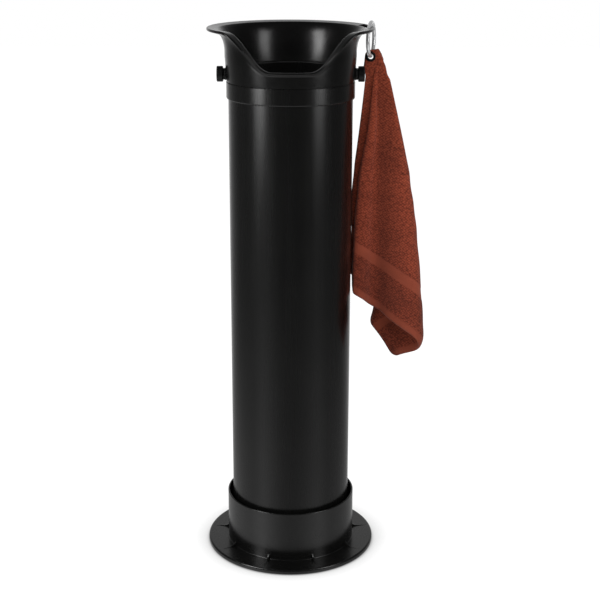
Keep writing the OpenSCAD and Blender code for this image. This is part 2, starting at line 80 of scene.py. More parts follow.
TUBE_R = TUBE_HIGH.x
TUBE_IN = TUBE_R - 5 * MM
FOOT_TOP = TUBE_LOW.z
LEDGE_Z = TUBE_HIGH.z + 2 * MM
SKIRT_Z = HEAD_LOW.z
LIP_R = HEAD_HIGH.x
LIP_TOP = HEAD_HIGH.z
KNOB_Z = (KNOB_LOW.z + KNOB_HIGH.z) / 2

# Mesh tools

WELD = 1e-7
SLIVER = 1e-8
SOFT_ANGLE = radians(35)
BEVEL_ANGLE = radians(30)


def ease(x):
    """Smooth step from 0 at 0 to 1 at 1, level at both ends."""
    u = np.clip(x, 0, 1)
    return u * u * u * (u * (6 * u - 15) + 10)


def fade(x, start, length):
    """Smooth step from 0 at a start to 1 after a length."""
    return ease((x - start) / length)


def lerp(a, b, t):
    return a + (b - a) * t


def make_object(name, verts, faces):
    mesh = bpy.data.meshes.new(name)
    mesh.from_pydata(verts, [], faces)
    bm = bmesh.new()
    bm.from_mesh(mesh)
    bmesh.ops.remove_doubles(bm, verts=bm.verts, dist=WELD)
    bmesh.ops.dissolve_degenerate(bm, edges=bm.edges, dist=SLIVER)
    bmesh.ops.recalc_face_normals(bm, faces=bm.faces)
    bm.to_mesh(mesh)
    bm.free()
    piece = bpy.data.objects.new(name, mesh)
    bpy.context.collection.objects.link(piece)
    return piece


def smooth(piece):
    piece.data.shade_smooth()
    piece.data.set_sharp_from_angle(angle=SOFT_ANGLE)
    piece.modifiers.new("even_shading", "WEIGHTED_NORMAL").keep_sharp = True


def rounded(corners, steps=6):
    """Closed outline through corners (x, y, fillet radius)."""
    outline = []
    for i, (x, y, r) in enumerate(corners):
        corner = Vector((x, y))
        if r == 0:
            outline.append((x, y))
            continue
        a = (Vector(corners[i - 1][:2]) - corner).normalized()
        b = (Vector(corners[(i + 1) % len(corners)][:2]) - corner).normalized()
        half = a.angle(b) / 2
        centre = corner + (a + b).normalized() * r / sin(half)
        start = corner + a * r / tan(half) - centre
        end = corner + b * r / tan(half) - centre
        turn = start.angle_signed(end)
        for k in range(steps + 1):
            spoke = start.copy()
            spoke.rotate(Matrix.Rotation(-turn * k / steps, 2))
            outline.append((centre.x + spoke.x, centre.y + spoke.y))
    return outline


def loops_to_faces(rings, size):
    """Quads that join closed rings of points, ring after ring, and the last to the first."""
    return [
        (
            j * size + i,
            j * size + (i + 1) % size,
            ((j + 1) % rings) * size + (i + 1) % size,
            ((j + 1) % rings) * size + i,
        )
        for j in range(rings)
        for i in range(size)
    ]


def lathe(name, outline, segments=256, place=Matrix.Identity(4)):
    """Solid of revolution of a closed outline (radius, height) about Z, then placed."""
    verts = []
    for j in range(segments):
        a = 2 * pi * j / segments
        verts += [(r * cos(a), r * sin(a), z) for r, z in outline]
    piece = make_object(name, verts, loops_to_faces(segments, len(outline)))
    piece.data.transform(place)
    smooth(piece)
    return piece


def prism(name, outline, thickness, place):
    """Extrusion of an outline in the XZ plane, centred on Y, then placed."""
    n = len(outline)
    verts = [(x, -thickness / 2, z) for x, z in outline] + [(x, thickness / 2, z) for x, z in outline]
    faces = [tuple(range(n)), tuple(range(2 * n - 1, n - 1, -1))]
    faces += [(i, (i + 1) % n, n + (i + 1) % n, n + i) for i in range(n)]
    piece = make_object(name, verts, faces)
    piece.data.transform(place)
    return piece


def bevel(piece, width, segments=3):
    bm = bmesh.new()
    bm.from_mesh(piece.data)
    edges = [e for e in bm.edges if e.calc_face_angle(0) > BEVEL_ANGLE]
    bmesh.ops.bevel(bm, geom=edges, offset=width, segments=segments, profile=0.5, affect="EDGES")
    bm.to_mesh(piece.data)
    bm.free()


def boolean(piece, tools, operation):
    """Applies a boolean of each tool to the piece, and removes the tools."""
    for tool in tools:
        modifier = piece.modifiers.new("cut", "BOOLEAN")
        modifier.operation = operation
        modifier.solver = "EXACT"
        modifier.object = tool
        done = bpy.data.meshes.new_from_object(piece.evaluated_get(bpy.context.evaluated_depsgraph_get()))
        piece.modifiers.clear()
        piece.data = done
        bpy.data.objects.remove(tool)
    smooth(piece)


def join(name, pieces):
    bm = bmesh.new()
    for p in pieces:
        bm.from_mesh(p.data)
    mesh = bpy.data.meshes.new(name)
    bm.to_mesh(mesh)
    bm.free()
    for p in pieces:
        bpy.data.objects.remove(p)
    whole = bpy.data.objects.new(name, mesh)
    bpy.context.collection.objects.link(whole)
    smooth(whole)
    return whole


# Materials


class Tree:
    """Short ways to add nodes to a node tree."""

    def __init__(self, tree):
        self.tree = tree

    def add(self, kind, inputs=None, **settings):
        node = self.tree.nodes.new("ShaderNode" + kind)
        for key, value in settings.items():
            setattr(node, key, value)
        for key, value in (inputs or {}).items():
            self.feed(node.inputs[key], value)
        return node

    def feed(self, socket, value):
        """Links another node's output to a socket, or sets the socket's own value."""
        if isinstance(value, bpy.types.NodeSocket):
            self.tree.links.new(value, socket)
        else:
            socket.default_value = value

    def math(self, operation, a, b):
        return self.add("Math", {0: a, 1: b}, operation=operation).outputs[0]

    def mix(self, factor, a, b, data_type="RGBA", **settings):
        inputs = {"Factor": factor, "A": a, "B": b}
        return self.add("Mix", inputs, data_type=data_type, **settings).outputs["Result"]

    def ramp(self, value, *stops):
        """Colour ramp; each stop is a position and a colour or a grey level."""
        node = self.add("ValToRGB", {"Fac": value})
        elements = node.color_ramp.elements
        while len(elements) < len(stops):
            elements.new(0.5)
        for element, (position, colour) in zip(elements, stops):
            element.position = position
            element.color = (*colour, 1) if isinstance(colour, tuple) else (colour, colour, colour, 1)
        return node.outputs["Color"]

    def curve(self, value, *stops):
        """Level between stops of value and level."""
        low, high = stops[0][0], stops[-1][0]
        share = self.add("MapRange", {"Value": value, "From Min": low, "From Max": high}).outputs["Result"]
        return self.ramp(share, *(((at - low) / (high - low), level) for at, level in stops))


class Nodes(Tree):
    """A new node material with a Principled shader, and short ways to texture it."""

    def __init__(self, name, **constants):
        self.material = bpy.data.materials.new(name)
        self.material.use_nodes = True
        super().__init__(self.material.node_tree)
        self.shader = self.tree.nodes["Principled BSDF"]
        for socket, value in constants.items():
            self.set(socket.replace("_", " "), value)

    def set(self, socket, value):
        self.feed(self.shader.inputs[socket], value)

    def place(self, scale=(1, 1, 1)):
        coords = self.add("TexCoord").outputs["Object"]
        return self.add("Mapping", {"Vector": coords, "Scale": scale}).outputs["Vector"]

    def noise(self, vector, scale, detail=2, roughness=0.5):
        inputs = {"Vector": vector, "Scale": scale, "Detail": detail, "Roughness": roughness}
        return self.add("TexNoise", inputs).outputs["Fac"]

    def span(self, value, low, high, start=0.3, end=0.7):
        inputs = {"Value": value, "From Min": start, "From Max": end, "To Min": low, "To Max": high}
        return self.add("MapRange", inputs).outputs["Result"]

    def bump(self, height, distance, strength=1.0):
        inputs = {"Height": height, "Distance": distance, "Strength": strength}
        self.set("Normal", self.add("Bump", inputs).outputs["Normal"])


# How much lighter than the light colour the painted highlight on sharp edges is
EDGE_HIGHLIGHT_GAIN = 3


def plastic(name, dark, light, rough, grain, streaks=(1, 1, 1), level=0.42):
    """Moulded or drawn plastic: uneven gloss, faint colour drift, fine skin, and a painted highlight on
    sharp convex edges.
    """
    m = Nodes(name, Specular_IOR_Level=level)
    drift = m.noise(m.place(), 9, detail=4)
    # Sharp convex edges get a much lighter base colour: a painted highlight.
    painted_edge_highlight_mask = m.span(m.add("NewGeometry").outputs["Pointiness"], 0, 1, 0.52, 0.6)
    painted_edge_highlight = (*(EDGE_HIGHLIGHT_GAIN * c for c in light), 1)
    m.set("Base Color", m.mix(painted_edge_highlight_mask, m.ramp(drift, (0.3, dark), (0.7, light)), painted_edge_highlight))
    gloss = m.noise(m.place(streaks), 60, detail=5, roughness=0.6)
    m.set("Roughness", m.span(gloss, rough - 0.02, rough + 0.03))
    skin = m.noise(m.place(streaks), grain, detail=2)
    m.bump(skin, 0.06 * MM, 0.15)
    return m.material


def rubber():
    m = Nodes("black_rubber", Specular_IOR_Level=0.3)
    cloud = m.noise(m.place(), 45, detail=5)
    m.set("Base Color", m.ramp(cloud, (0.3, 0.012), (0.75, 0.026)))
    m.set("Roughness", m.span(cloud, 0.7, 0.9))
    m.bump(m.noise(m.place(), 1500, detail=3), 0.15 * MM, 0.5)
    return m.material


def metal(name, dark, light, rough, streaks, depth, metallic=1.0):
    m = Nodes(name, Metallic=metallic)
    cloud = m.noise(m.place(), 80, detail=4)
    m.set("Base Color", m.ramp(cloud, (0.3, dark), (0.7, light)))
    m.set("Roughness", m.span(m.noise(m.place(streaks), 300, detail=4), rough * 0.6, rough * 1.5))
    m.bump(m.noise(m.place(streaks), 900, detail=2), depth, 0.4)
    return m.material


def towelling():
    """Terry loops in slanting rows, with a flat woven border and hem where the weave attribute is 1."""
    m = Nodes(
        "rust_towelling", Roughness=0.95, Specular_IOR_Level=0.1, Sheen_Weight=0.07, Sheen_Roughness=0.6
    )
    flat = m.add("UVMap", uv_map="flat").outputs["UV"]
    woven = m.add("Attribute", attribute_name="weave").outputs["Fac"]
    lain = m.add("UVMap", uv_map="pile").outputs["UV"]
    pile = m.add("Mapping", {"Vector": lain, "Rotation": (0, 0, radians(40)), "Scale": (200, 280, 1)})
    loops = m.add("TexVoronoi", {"Vector": pile.outputs["Vector"], "Scale": 1.0, "Randomness": 0.45})
    loops = loops.outputs["Distance"]
    fuzz = m.noise(lain, 900, detail=3)
    lay = m.noise(flat, 24, detail=3)
    twill = m.add("Mapping", {"Vector": flat, "Scale": (900, 1500, 1)}).outputs["Vector"]
    ribs = m.add("TexWave", {"Vector": twill, "Scale": 0.32, "Distortion": 0.6}).outputs["Fac"]
    # Terry colour, lightest at the loops' centres and darker between them: painted shade in the hollows of
    # the pile.
    terry_and_hollow_shade = m.ramp(
        loops,
        (0.0, (0.262, 0.051, 0.023)),
        (0.4, (0.168, 0.031, 0.0145)),
        (0.8, (0.062, 0.011, 0.005)),
    )
    band = m.ramp(ribs, (0.0, (0.176, 0.036, 0.018)), (1.0, (0.250, 0.053, 0.027)))
    tone = m.math("ADD", m.math("MULTIPLY", lay, 0.6), m.math("MULTIPLY", fuzz, 0.4))
    shade = m.ramp(tone, (0.35, (0.86, 0.85, 0.85)), (0.65, (1.12, 1.11, 1.10)))
    tint = m.mix(1.0, m.mix(woven, terry_and_hollow_shade, band), shade, blend_type="MULTIPLY")
    # Painted light and shade: the cloth is made lighter near the eyelet, at the top, and darker beyond 0.35
    # m, towards the bottom.
    along = m.add("SeparateXYZ", {0: flat}).outputs["Y"]
    painted_light_and_shade = m.ramp(along, (0.0, 1.25), (0.15, 1.08), (0.30, 1.0), (0.35, 0.76))
    m.set("Base Color", m.mix(1.0, tint, painted_light_and_shade, blend_type="MULTIPLY"))
    high = m.math("SUBTRACT", m.math("MULTIPLY", fuzz, 0.4), loops)
    low = m.math("MULTIPLY", ribs, 0.25)
    m.bump(m.mix(woven, high, low, data_type="FLOAT"), 0.7 * MM, 0.6)
    return m.material


BLACK = {
    "foot": plastic(
        "black_foot", (0.0022, 0.0022, 0.0021), (0.0040, 0.0040, 0.0038), 0.25, 1500, level=0.56
    ),
    "tube": plastic(
        "black_tube", (0.0022, 0.0022, 0.0021), (0.0036, 0.0036, 0.0034), 0.26, 1800, streaks=(1, 1, 0.04)
    ),
    "head": plastic("black_head", (0.0020, 0.0020, 0.0020), (0.0034, 0.0034, 0.0032), 0.23, 2000),
    "knob": plastic("black_knob", (0.0016, 0.0016, 0.0016), (0.0028, 0.0028, 0.0028), 0.42, 1200, level=0.3),
}
GREY = plastic("grey_liner", (0.020, 0.021, 0.022), (0.032, 0.033, 0.035), 0.55, 1200)
RUBBER = rubber()
STEEL = metal("plain_steel", (0.42, 0.43, 0.44), (0.58, 0.58, 0.59), 0.3, (1, 1, 6), 0.02 * MM)
CHROME = metal("bright_chrome", (0.66, 0.665, 0.67), (0.76, 0.765, 0.77), 0.16, (1, 1, 1), 0.006 * MM, 0.6)
TERRY = towelling()


def finish_piece(piece, material, body, slot, *nodes):
    piece.data.materials.clear()
    piece.data.materials.append(material)
    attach(piece, body)
    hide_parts(*nodes)


# Foot: disc, socket sleeve, gussets, locating ribs and screw bosses

FOOT_R = FOOT_HIGH.x
SLEEVE_TOP = FOOT_HIGH.z
SLEEVE_WALL = 3.2 * MM
SLEEVE_IN = TUBE_R + 7.1 * MM
SLEEVE_R = SLEEVE_IN + SLEEVE_WALL
DECK_T = 4 * MM
DECK_Z = FOOT_TOP - DECK_T
RIM_W = 8 * MM
GUSSETS = 9
GUSSET_H = 10 * MM
GUSSET_TIP = FOOT_R - 8 * MM
GUSSET_SLOPE = 0.2
GUSSET_HOLLOW = 7
GUSSET_STEPS = 12
RIB_T = 2 * MM
RIB_TOP = SLEEVE_TOP - 26 * MM
RIB_LEAD = 4 * MM
RIB_IN = TUBE_R + 0.4 * MM
SINK = 1 * MM
BOSSES = 4
BOSS_RING = TUBE_R - 32.5 * MM
BOSS_R = 5.5 * MM
BOSS_H = 6.5 * MM


def make_foot():
    shell = lathe("foot_shell", rounded([
        (0, DECK_Z, 0),
        (FOOT_R - RIM_W, DECK_Z, 0.6 * MM),
        (FOOT_R - RIM_W, FOOT_LOW.z, 0.6 * MM),
        (FOOT_R, FOOT_LOW.z, 0.9 * MM),
        (FOOT_R, FOOT_TOP, 3 * MM),
        (SLEEVE_R, FOOT_TOP, 1.6 * MM),
        (SLEEVE_R, SLEEVE_TOP, 1.4 * MM),
        (SLEEVE_IN, SLEEVE_TOP, 1.4 * MM),
        (SLEEVE_IN, FOOT_TOP, 1.2 * MM),
        (0, FOOT_TOP, 0),
    ], 8), 320)
    parts = [shell]
    gusset = [(SLEEVE_R - SINK, FOOT_TOP - SINK), (GUSSET_TIP, FOOT_TOP - SINK)]
    for k in range(GUSSET_STEPS + 1):
        t = k / GUSSET_STEPS
        rise = GUSSET_SLOPE * t + (1 - GUSSET_SLOPE) * t**GUSSET_HOLLOW
        gusset.append((lerp(GUSSET_TIP, SLEEVE_R, t), FOOT_TOP + GUSSET_H * rise))
    gusset.append((SLEEVE_R - SINK, FOOT_TOP + GUSSET_H))
    rib = [
        (RIB_IN, FOOT_TOP - SINK),
        (SLEEVE_IN + SINK, FOOT_TOP - SINK),
        (SLEEVE_IN + SINK, RIB_TOP),
        (RIB_IN + RIB_LEAD, RIB_TOP),
        (RIB_IN, RIB_TOP - 3 * RIB_LEAD),
    ]
    for k in range(GUSSETS):
        turn = Matrix.Rotation((k + 0.5) * 2 * pi / GUSSETS - pi / 2, 4, "Z")
        for name, outline, round_off in (("gusset", gusset, 0.15 * MM), ("rib", rib, 0.5 * MM)):
            web = prism(name, outline, RIB_T, turn)
            bevel(web, round_off)
            parts.append(web)
    for k in range(BOSSES):
        a = (k + 0.5) * 2 * pi / BOSSES
        place = Matrix.Translation((BOSS_RING * cos(a), BOSS_RING * sin(a), FOOT_TOP - SINK))
        boss = [(0, 0, 0), (BOSS_R, 0, 0), (BOSS_R, BOSS_H + SINK, 0.8 * MM), (0, BOSS_H + SINK, 0)]
        parts.append(lathe("boss", rounded(boss), 48, place))
    finish_piece(join("foot", parts), BLACK["foot"], "foot", "black_plastic", "foot_moulding")


make_foot()

# Column: tube and stop collar

GLUE_GAP = 0.05 * MM


def make_column():
    tube = lathe("column_tube", rounded([
        (TUBE_IN, FOOT_TOP, 0.8 * MM),
        (TUBE_R, FOOT_TOP, 0.8 * MM),
        (TUBE_R, TUBE_HIGH.z, 0.6 * MM),
        (TUBE_IN, TUBE_HIGH.z, 0.6 * MM),
    ], 4), 320)
    finish_piece(tube, BLACK["tube"], "column", "black_plastic", "tube")
    collar = lathe("collar", rounded([
        (TUBE_R + GLUE_GAP, COLLAR_LOW.z, 0),
        (COLLAR_HIGH.x, COLLAR_LOW.z, 2.6 * MM),
        (COLLAR_HIGH.x, COLLAR_HIGH.z, 0.8 * MM),
        (TUBE_R + GLUE_GAP, COLLAR_HIGH.z, 0),
    ], 10), 320)
    finish_piece(collar, BLACK["tube"], "column", "black_plastic", "stop_collar")


make_column()

# Head: one wall section for each angle, blended from the dipped front to the full flare

SKIRT_IN = TUBE_R + 0.7 * MM
SKIRT_OUT = SKIRT_IN + 2 * MM
DRAFT = 0.069
DRAFT_H = 45 * MM
BOWL_WALL = 4 * MM
LIP_T = 5.2 * MM
LIP_RISE = LIP_TOP - LEDGE_Z
NOTCH_RISE = 6 * MM
NOTCH_REACH = 2.4 * MM
NOTCH_FLAT = radians(15)
NOTCH_FULL = radians(57)
FLARE_FRONT = Vector((1.2, 4)) * MM
FLARE_BACK = Vector((16, 33)) * MM
SCOOP_FRONT = Vector((2.4, 2.6)) * MM
SCOOP_BACK = Vector((18, 38)) * MM
UNDER_DROP = 3.8 * MM
TOP_DROP = 2 * MM
LEAN = 0.216
LEDGE_T = 1.5 * MM
SKIRT_EDGE = 0.5 * MM
RING_PLACE = radians(11)
SLOT_HALF = radians(12.5)
WEB_W = 5 * MM
SLOT_W = 12 * MM
SLOT_DEPTH = 14 * MM
SLOT_FLARE = 1.6 * MM
SLOT_FLARE_H = 2.2 * MM
SLOT_STEPS = 36
HEAD_STEPS = 480
CURVE_STEPS = 28
TIP_STEPS = 14


def wall_r(z):
    return SKIRT_OUT + DRAFT * min(z - SKIRT_Z, DRAFT_H)


def head_section(w):
    """Closed outline of the head's wall, as radius and height, for a share of the full flare."""
    top = LEDGE_Z + lerp(NOTCH_RISE, LIP_RISE, w)
    under = top - LIP_T - UNDER_DROP * w
    flare = lerp(FLARE_FRONT, FLARE_BACK, w)
    scoop = lerp(SCOOP_FRONT, SCOOP_BACK, w)
    flare_z = under - flare.y
    wall = wall_r(flare_z)
    tip = lerp(wall + NOTCH_REACH, LIP_R, w) - LIP_T / 2
    inside = wall - BOWL_WALL
    scoop_z = top - TOP_DROP * w
    low_z = scoop_z - scoop.y
    lean = LEAN * w * scoop.y
    curl = scoop.x - lean
    draft_z = min(flare_z - 1 * MM, SKIRT_Z + DRAFT_H)
    quarter = [pi / 2 * i / CURVE_STEPS for i in range(CURVE_STEPS + 1)]
    arc = [pi * (i / TIP_STEPS - 0.5) for i in range(TIP_STEPS + 1)]
    return (
        [(SKIRT_IN, SKIRT_Z), (SKIRT_OUT - SKIRT_EDGE, SKIRT_Z), (SKIRT_OUT, SKIRT_Z + SKIRT_EDGE)]
        + [(wall_r(z), z) for z in np.linspace(SKIRT_Z + 2 * SKIRT_EDGE, draft_z, 6)]
        + [(wall + flare.x * (1 - cos(a)), under - flare.y * (1 - sin(a))) for a in quarter]
        + [(tip + LIP_T / 2 * cos(a), top - LIP_T / 2 + LIP_T / 2 * sin(a)) for a in arc]
        + [(inside + lean * cos(a) + curl * (1 - sin(a)), low_z + scoop.y * cos(a)) for a in quarter]
        + [(TUBE_IN, LEDGE_Z + LEDGE_T), (TUBE_IN, LEDGE_Z), (SKIRT_IN, LEDGE_Z)]
    )


def slot_tool():
    """Curved cutter for the ring's slot, with a flare that breaks the slot's upper edge."""
    low, mid, high = LIP_TOP - SLOT_DEPTH, LIP_TOP - SLOT_FLARE_H, LIP_TOP + 1 * MM
    inner, outer = LIP_R - WEB_W - SLOT_W, LIP_R - WEB_W
    verts = []
    for i in range(SLOT_STEPS + 1):
        for z, extra in ((low, 0), (mid, 0), (high, SLOT_FLARE)):
            a = RING_PLACE + (SLOT_HALF + extra / LIP_R) * (2 * i / SLOT_STEPS - 1)
            verts += [(r * cos(a), r * sin(a), z) for r in (inner - extra, outer + extra)]
    size = 6
    order = [0, 2, 4, 5, 3, 1]
    faces = [
        (i * size + order[k], i * size + order[(k + 1) % size],
         (i + 1) * size + order[(k + 1) % size], (i + 1) * size + order[k])
        for i in range(SLOT_STEPS)
        for k in range(size)
    ]
    faces += [tuple(order), tuple(SLOT_STEPS * size + k for k in reversed(order))]
    return make_object("slot_tool", verts, faces)


def make_head():
    verts = []
    for j in range(HEAD_STEPS):
        phi = 2 * pi * j / HEAD_STEPS - pi
        w = float(fade(abs(phi), NOTCH_FLAT, NOTCH_FULL - NOTCH_FLAT))
        verts += [(r * sin(phi), -r * cos(phi), z) for r, z in head_section(w)]
    head = make_object("head_bowl", verts, loops_to_faces(HEAD_STEPS, len(head_section(1.0))))
    boolean(head, [slot_tool()], "DIFFERENCE")
    finish_piece(head, BLACK["head"], "head", "black_plastic", "funnel_head")


make_head()

# Clamp knobs and their bushes

KNOB_R = (KNOB_HIGH.z - KNOB_LOW.z) / 2
KNOB_FACE = KNOB_HIGH.x
NECK_IN = KNOB_LOW.x
NECK_R = 10.3 * MM
NECK_L = 2 * MM
DOME = 0.6 * MM
FLANGE_R = BUSH_HIGH.z - KNOB_Z
FLANGE_FACE = BUSH_HIGH.x
SEAT_GAP = 0.15 * MM
BAND_GAP = 0.4 * MM
CUT_BELOW = 20 * MM


def on_side(side):
    """Turns a shape modelled along +Z so that it points away from the axis on one side."""
    return Matrix.Translation((0, 0, KNOB_Z)) @ Matrix.Rotation(side * pi / 2, 4, "Y")


def make_knob(name, side):
    disc = NECK_IN + NECK_L
    knob = lathe(name + "_knob_disc", rounded([
        (0, NECK_IN, 0),
        (NECK_R, NECK_IN, 0.4 * MM),
        (NECK_R, disc, 0.8 * MM),
        (KNOB_R, disc, 1.6 * MM),
        (KNOB_R, KNOB_FACE - DOME, 2 * MM),
        (KNOB_R * 0.7, KNOB_FACE - DOME / 2, 0.1 * MM),
        (0, KNOB_FACE, 0),
    ], 8), 128, on_side(side))
    finish_piece(knob, BLACK["knob"], name + "_knob", "black_plastic", name + "_knob")


def make_bush(name, side):
    flange = lathe(name + "_bush_flange", rounded([
        (0, TUBE_R, 0),
        (FLANGE_R, TUBE_R, 0),
        (FLANGE_R, FLANGE_FACE, 1.1 * MM),
        (0, FLANGE_FACE, 0),
    ], 8), 128, on_side(side))
    low, high = SKIRT_Z - CUT_BELOW, SKIRT_Z + DRAFT_H
    cone = [(0, low), (wall_r(low) + SEAT_GAP, low), (wall_r(high) + SEAT_GAP, high), (0, high)]
    rest = COLLAR_HIGH.x + BAND_GAP
    band = [(0, COLLAR_LOW.z), (rest, COLLAR_LOW.z), (rest, SKIRT_Z), (0, SKIRT_Z)]
    boolean(flange, [lathe("cone_tool", cone, 320), lathe("band_tool", band, 320)], "DIFFERENCE")
    finish_piece(flange, BLACK["knob"], "head", "black_plastic", name + "_bush")


for side_name, side_sign in (("left", -1), ("right", 1)):
    make_knob(side_name, side_sign)
    make_bush(side_name, side_sign)

# Towel: every line of the cloth from the eyelet hangs in the direction that the fold line gives it

RING_TURN = radians(76)
RING_ALONG = np.array([cos(RING_TURN), sin(RING_TURN), 0])
RING_OUT = np.array([sin(RING_TURN), -cos(RING_TURN), 0])
UPWARD = np.array([0, 0, 1])
RING_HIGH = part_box("towel_ring")[1]
RING_R = 29.8 * MM
WIRE_R = 3.5 * MM
RING_GAP = 0.5 * MM
WEB_R = LIP_R - WEB_W / 2
RING_AT = np.array([WEB_R * cos(RING_PLACE), WEB_R * sin(RING_PLACE), RING_HIGH.z - RING_R - WIRE_R])
EYELET_HOLE = 5 * MM
EYELET_R = 9.5 * MM
EYELET_T = 1.2 * MM
BARREL_T = 0.9 * MM
EYELET_AT = RING_AT + np.array([0, 0, RING_GAP + WIRE_R - RING_R - EYELET_HOLE])
TOWEL_SIDE = 420 * MM
EYELET_INSET = 13 * MM
TOWEL_T = 3 * MM
FAR_EDGE = TOWEL_SIDE - EYELET_INSET
CORNER = 45 + np.degrees(np.arctan(EYELET_INSET / FAR_EDGE))
HOLE_R = EYELET_HOLE + 1.3 * MM
FAR_ROUND = 24 * MM
ROUND_TURN = 45 - np.degrees(np.arctan(1 - FAR_ROUND / FAR_EDGE))

# Degrees to the right and degrees towards the viewer, from the left free edge to the right one
FOLD_POINTS = np.array([
    [-2.8, -10.8], [-3.8, -7.8], [-1.0, -6.4], [-0.9, -4.0], [-4.0, -3.2], [-5.5, -1.1], [-5.2, 0.9],
    [-3.2, 0.9], [-1.2, 0.3], [-0.9, 2.0], [-3.2, 2.5], [-4.4, 3.7], [-3.4, 5.0], [-1.4, 4.3],
    [0.2, 0.8], [3.0, 3.0], [6.0, 3.8], [8.2, 3.4], [9.7, 1.5], [8.7, -0.4], [4.0, -0.9], [0.4, -1.2],
    [0.4, -3.4], [3.6, -3.4], [8.6, -3.6], [8.8, -6.0], [4.6, -6.1], [1.0, -6.4], [1.0, -8.8],
    [4.6, -8.7], [8.6, -8.9], [8.8, -11.3], [4.8, -11.4], [0.4, -12.1], [-0.6, -12.3],
])

# Direction round the eyelet in which each flat angle sets out, in degrees from straight down
SET_OUT = np.array([
    [-180, -180], [-110, -110], [-47, -56], [-30, -36], [-25, 0], [-20, 20], [-2, 72], [12, 98], [47, 128],
    [110, 160], [180, 180],
])

# Stretch on the bias along each flat angle
BIAS = np.array([[-47, -0.01], [-25, -0.03], [-19, -0.028], [-8, 0.015], [-3, 0.014], [3, 0], [47, 0]])
BLUR = np.linspace(-3, 3, 13)

# Gathering below the eyelet, and the bends of the cloth round it, in degrees left of upright
GATHER_NEAR = EYELET_R
GATHER_FAR = 39 * MM
BEND_R = 2.5 * MM
PEAK_BEND = -64
PEAK = 14.3 * MM
SIDE_BENDS = (85, 45, 12)
SIDE_FROM = 7.2 * MM
SIDE_EASE = 0.1
SIDE_FREE = 30 * MM
SIDE_FREE_EASE = 0.4

# Sideways forms of the hung cloth; a pair is a fade's start and length, in metres or degrees
SHOULDER = 41 * MM
SHOULDER_STEEP = 34 * MM
SHOULDER_SLOW = 200 * MM
SHOULDER_SHARE = 0.64
SHOULDER_RIGHT = (-5.5, 14)
SHOULDER_FRONT = (-6, 6)
SET_OFF = 25 * MM
FLAP = 5 * MM
FLAP_END = (260 * MM, 130 * MM)
FLAP_TURN = (27, 2)
BELLY = 2.5 * MM
BELLY_AT = 220 * MM
BELLY_W = 70 * MM
PANEL_EDGE = 9 * MM
PANEL_END = (100 * MM, 160 * MM)
PANEL_TURN = (-28, 2)
PANEL_BACK = (-19, 8)
CURL = 6
CURL_FROM = (505 * MM, 85 * MM)
CURL_SOONER = 50 * MM
CURL_TURN = (-4, 6)
CURL_RIGHT = (-4, 14)

# Room to the tube, and the width beyond which the cloth is drawn in
TUBE_ROOM = 4 * MM
TUBE_SOFT = 5 * MM
TUBE_FROM = (80 * MM, 100 * MM)
DRAW_FROM = 222 * MM
DRAW_IN = 7.6

# Thickness: pressed below the eyelet, thin at border and stitches, with a turned hem
PRESSED = 0.4
PRESS_FROM = (12 * MM, 18 * MM)
PRESS_END = (40 * MM, 140 * MM)
HEM_W = 13 * MM
HEM_SOFT = 1.6 * MM
HEM_THICK = 0.15
STITCH_NEAR = 2.6 * MM
STITCH_FAR = 1.2 * MM
STITCH_SOFT = 1.2 * MM
STITCH_THIN = 0.45
BORDER_AT = 81 * MM
BORDER_W = 19 * MM
BORDER_SOFT = 3 * MM
BORDER_THIN = 0.45
RIM_THIN = 0.55
CLOTH_RIM = 2 * MM
RELIEF_FROM = (150 * MM, 100 * MM)
RIPPLE = 0.9 * MM

# Mesh of the cloth
EDGE_FAN = 8
CLOTH_COLUMNS = 460
CORNER_COLUMNS = 90
CORNER_BUNCH = 2.2
CLOTH_ROWS = 210
ROW_BUNCH = 0.35
PANEL_COLUMN = 170


def fold_path(count):
    """Folded directions at equal steps along the fold line, a quadratic spline of its points."""
    p = FOLD_POINTS
    p = np.vstack([2 * p[0] - p[1], p, 2 * p[-1] - p[-2]])
    s = np.linspace(0, len(p) - 2 - 1e-9, 6000)
    i = s.astype(int)
    f = (s - i)[:, None]
    line = 0.5 * ((1 - f) ** 2 * p[i] + (1 + 2 * f - 2 * f * f) * p[i + 1] + f * f * p[i + 2])
    run = np.concatenate([[0], np.cumsum(np.linalg.norm(np.diff(line, axis=0), axis=1))])
    even = np.linspace(0, run[-1], count)
    return np.stack([np.interp(even, run, line[:, k]) for k in (0, 1)], 1)


def edge_at(turn):
    """Distance from the eyelet to the towel's edge along a flat angle."""
    a = np.abs(turn)
    side = EYELET_INSET / np.sin(np.radians(np.maximum(a - 45, 1e-3)))
    centre = np.sqrt(2) * (FAR_EDGE - FAR_ROUND)
    across = np.minimum(centre * np.sin(np.radians(a)), FAR_ROUND)
    tip = centre * np.cos(np.radians(a)) + np.sqrt(FAR_ROUND**2 - across**2)
    end = np.minimum(FAR_EDGE / np.cos(np.radians(45 - a)), np.where(a < ROUND_TURN, tip, 1))
    return np.where(a <= CORNER, end, side)


def unit(v):
    return v / np.linalg.norm(v, axis=-1, keepdims=True)


